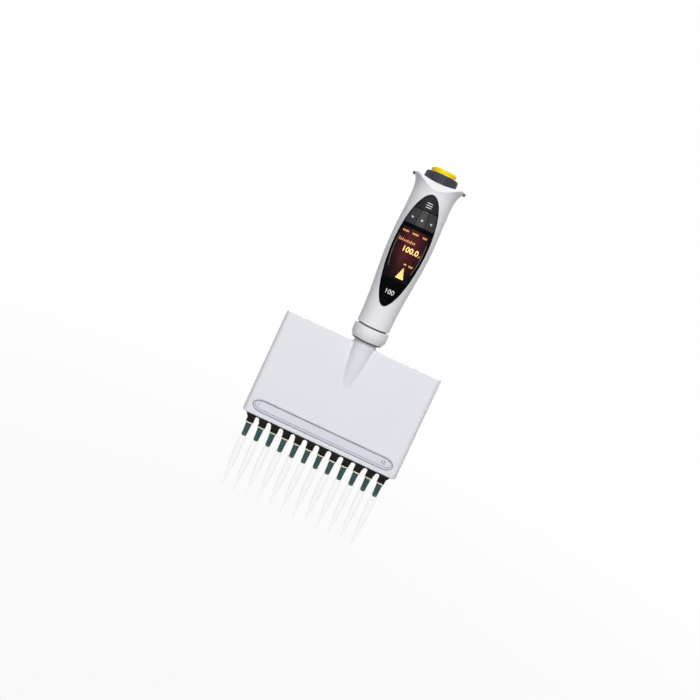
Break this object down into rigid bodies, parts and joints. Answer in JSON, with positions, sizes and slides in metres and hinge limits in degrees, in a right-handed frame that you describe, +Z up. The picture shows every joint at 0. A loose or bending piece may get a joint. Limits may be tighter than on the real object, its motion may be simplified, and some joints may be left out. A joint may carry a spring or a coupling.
{
  "type": "multichannel pipette",
  "caption": "Hand-held electronic multichannel pipette: trumpet-shaped handle with display, keys, dial and start button over a swivelling wedge-shaped piston module with tip ejector and tips.",
  "frame": {"origin": "on the handle's axis at the level of the undersides of the ears, where the pipette hangs on its stand", "axes": "+Z up along the handle, -Y out of the display, +X to the right seen from the display"},
  "size_m": [0.1134, 0.0301, 0.2567],
  "materials": {
    "shell": "fine satin, light grey white",
    "housing": "fine satin, light grey white",
    "fascia": "smooth near black",
    "window": "clear, dark behind",
    "keycap": "satin dark grey",
    "dial": "satin slate grey",
    "button": "satin yellow",
    "contact": "bright copper alloy",
    "board": "solder mask green",
    "dark_plastic": "moulded dark grey",
    "rubber": "soft grey rubber",
    "battery": "wrapped cell, blue",
    "steel": "ground stainless steel",
    "aluminium": "milled",
    "motor": "bought-in linear motor can",
    "block": "machined engineering plastic",
    "strip": "inlaid printed strip",
    "cone": "dark teal engineering plastic",
    "ejector": "near black",
    "tip": "translucent natural polypropylene"
  },
  "bodies": {
    "handle": {"handle_front_shell": "shell", "handle_rear_shell": "shell", "fascia_bezel": "fascia", "display_window": "window", "display_module": "dark_plastic", "key_mat": "rubber", "main_board": "board", "battery": "battery", "charging_contacts": "contact", "dial_encoder": "dark_plastic", "start_switch": "dark_plastic", "motor": "motor", "swivel_bush": "dark_plastic", "swivel_collar": "shell", "handle_screws": "steel", "button_spring": "steel"},
    "dial": {"control_dial": "dial"},
    "start": {"start_button": "button"},
    "eject_key": {"tip_eject_key": "keycap"},
    "soft_key_left": {"left_key": "keycap"},
    "soft_key_middle": {"middle_key": "keycap"},
    "soft_key_right": {"right_key": "keycap"},
    "lower_module": {"front_housing": "housing", "rear_housing": "housing", "label_strip": "strip", "swivel_spigot": "dark_plastic", "housing_screws": "steel", "cone_plate": "dark_plastic", "tip_cones": "cone", "cylinder_block": "block", "piston_seals": "rubber", "seal_retainer": "aluminium", "guide_rods": "steel", "ejector_springs": "steel"},
    "screw": {"drive_screw": "steel"},
    "carriage": {"piston_plate": "aluminium", "pistons": "steel"},
    "ejector": {"ejector_bar": "ejector", "ejector_rods": "steel"},
    "disposable_tip_01": {"tip_01": "tip"},
    "disposable_tip_02": {"tip_02": "tip"},
    "disposable_tip_03": {"tip_03": "tip"},
    "disposable_tip_04": {"tip_04": "tip"},
    "disposable_tip_05": {"tip_05": "tip"},
    "disposable_tip_06": {"tip_06": "tip"},
    "disposable_tip_07": {"tip_07": "tip"},
    "disposable_tip_08": {"tip_08": "tip"},
    "disposable_tip_09": {"tip_09": "tip"},
    "disposable_tip_10": {"tip_10": "tip"},
    "disposable_tip_11": {"tip_11": "tip"},
    "disposable_tip_12": {"tip_12": "tip"}
  },
  "joints": [
    {"name": "dial_turn", "type": "hinge", "parent": "handle", "child": "dial", "pos_m": [0, 0, 0.007], "axis": [0, 0, 1], "continuous": true},
    {"name": "start_press", "type": "slide", "parent": "handle", "child": "start", "axis": [0, 0, -1], "range_m": [0, 0.002], "stiffness_N_per_m": 500, "springref_m": -0.006, "deforming": ["button_spring"]},
    {"name": "eject_key_press", "type": "slide", "parent": "handle", "child": "eject_key", "axis": [0, 1, 0], "range_m": [0, 0.0005], "stiffness_N_per_m": 1500, "springref_m": -0.0005},
    {"name": "left_key_press", "type": "slide", "parent": "handle", "child": "soft_key_left", "axis": [0, 1, 0], "range_m": [0, 0.0005], "stiffness_N_per_m": 1500, "springref_m": -0.0005},
    {"name": "middle_key_press", "type": "slide", "parent": "handle", "child": "soft_key_middle", "axis": [0, 1, 0], "range_m": [0, 0.0005], "stiffness_N_per_m": 1500, "springref_m": -0.0005},
    {"name": "right_key_press", "type": "slide", "parent": "handle", "child": "soft_key_right", "axis": [0, 1, 0], "range_m": [0, 0.0005], "stiffness_N_per_m": 1500, "springref_m": -0.0005},
    {"name": "module_swivel", "type": "hinge", "parent": "handle", "child": "lower_module", "pos_m": [0, 0, -0.1], "axis": [0, 0, 1], "continuous": true},
    {"name": "screw_drive", "type": "slide", "parent": "handle", "child": "screw", "axis": [0, 0, 1], "range_m": [-0.0015, 0.0125]},
    {"name": "piston_drive", "type": "slide", "parent": "lower_module", "child": "carriage", "axis": [0, 0, 1], "range_m": [-0.0015, 0.0125]},
    {"name": "ejector_slide", "type": "slide", "parent": "lower_module", "child": "ejector", "axis": [0, 0, -1], "range_m": [0, 0.0055], "stiffness_N_per_m": 600, "springref_m": -0.004, "deforming": ["ejector_springs"]},
    {"name": "tip_01_pull_off", "type": "slide", "parent": "ejector", "child": "disposable_tip_01", "axis": [0, 0, -1], "range_m": [0, 0.012]},
    {"name": "tip_02_pull_off", "type": "slide", "parent": "ejector", "child": "disposable_tip_02", "axis": [0, 0, -1], "range_m": [0, 0.012]},
    {"name": "tip_03_pull_off", "type": "slide", "parent": "ejector", "child": "disposable_tip_03", "axis": [0, 0, -1], "range_m": [0, 0.012]},
    {"name": "tip_04_pull_off", "type": "slide", "parent": "ejector", "child": "disposable_tip_04", "axis": [0, 0, -1], "range_m": [0, 0.012]},
    {"name": "tip_05_pull_off", "type": "slide", "parent": "ejector", "child": "disposable_tip_05", "axis": [0, 0, -1], "range_m": [0, 0.012]},
    {"name": "tip_06_pull_off", "type": "slide", "parent": "ejector", "child": "disposable_tip_06", "axis": [0, 0, -1], "range_m": [0, 0.012]},
    {"name": "tip_07_pull_off", "type": "slide", "parent": "ejector", "child": "disposable_tip_07", "axis": [0, 0, -1], "range_m": [0, 0.012]},
    {"name": "tip_08_pull_off", "type": "slide", "parent": "ejector", "child": "disposable_tip_08", "axis": [0, 0, -1], "range_m": [0, 0.012]},
    {"name": "tip_09_pull_off", "type": "slide", "parent": "ejector", "child": "disposable_tip_09", "axis": [0, 0, -1], "range_m": [0, 0.012]},
    {"name": "tip_10_pull_off", "type": "slide", "parent": "ejector", "child": "disposable_tip_10", "axis": [0, 0, -1], "range_m": [0, 0.012]},
    {"name": "tip_11_pull_off", "type": "slide", "parent": "ejector", "child": "disposable_tip_11", "axis": [0, 0, -1], "range_m": [0, 0.012]},
    {"name": "tip_12_pull_off", "type": "slide", "parent": "ejector", "child": "disposable_tip_12", "axis": [0, 0, -1], "range_m": [0, 0.012]}
  ],
  "couplings": [
    {"joint": "screw_drive", "follows": "piston_drive", "ratio": 1}
  ]
}
